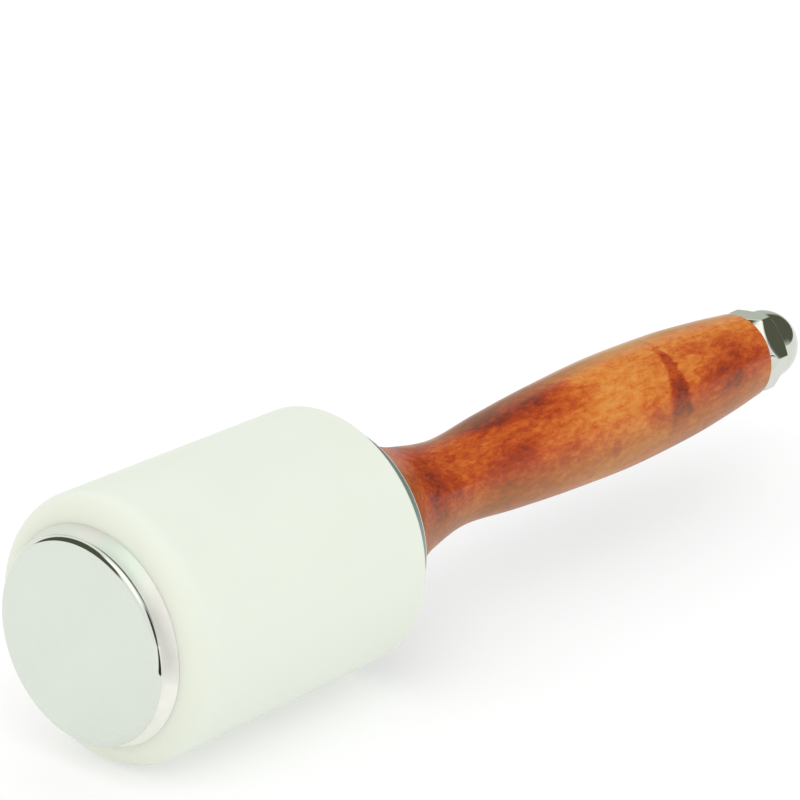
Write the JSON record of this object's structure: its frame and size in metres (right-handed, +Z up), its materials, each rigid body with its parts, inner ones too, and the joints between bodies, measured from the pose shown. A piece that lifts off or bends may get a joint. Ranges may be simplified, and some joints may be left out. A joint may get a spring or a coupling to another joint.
{
  "type": "nylon-headed mallet",
  "caption": "Hand mallet with a round nylon head capped in chromed steel, held to a turned wooden handle by a tie rod and a domed nut.",
  "frame": {"origin": "centre of the front cap's flat striking face", "axes": "+X along the mallet's axis from the front cap's face towards the domed nut, +Z up with the mallet lying on its side"},
  "size_m": [0.2153, 0.057, 0.057],
  "materials": {
    "satin_chromed_steel": "chrome-plated steel, satin flat face with a polished rounded rim",
    "plain_steel": "bare zinc-plated steel rod with machine-cut threads",
    "white_nylon": "turned natural white nylon, satin and slightly translucent",
    "washer_chrome": "polished chrome-plated steel",
    "lacquered_wood": "stained hardwood, mottled orange and red-brown under clear gloss lacquer",
    "polished_chrome": "mirror-polished chrome plating"
  },
  "bodies": {
    "core": {"front_cap": "satin_chromed_steel", "tie_rod": "plain_steel"},
    "head": {"nylon_head": "white_nylon"},
    "washer": {"rear_washer": "washer_chrome"},
    "grip": {"handle": "lacquered_wood"},
    "nut": {"cap_nut": "polished_chrome"}
  },
  "joints": [
    {"name": "head_slide", "type": "slide", "parent": "core", "child": "head", "axis": [1, 0, 0], "range_m": [0, 0.002]},
    {"name": "washer_slide", "type": "slide", "parent": "core", "child": "washer", "axis": [1, 0, 0], "range_m": [0, 0.004]},
    {"name": "handle_slide", "type": "slide", "parent": "core", "child": "grip", "axis": [1, 0, 0], "range_m": [0, 0.006]},
    {"name": "nut_turn", "type": "hinge", "parent": "grip", "child": "nut", "pos_m": [0.2007, 0, 0], "axis": [1, 0, 0], "range_deg": [0, 1440]}
  ],
  "couplings": [
    {"joint": "nut_turn", "follows": "handle_slide", "rad_per_m": 4188.8},
    {"joint": "washer_slide", "follows": "handle_slide", "ratio": 0.66666},
    {"joint": "head_slide", "follows": "handle_slide", "ratio": 0.33333}
  ]
}
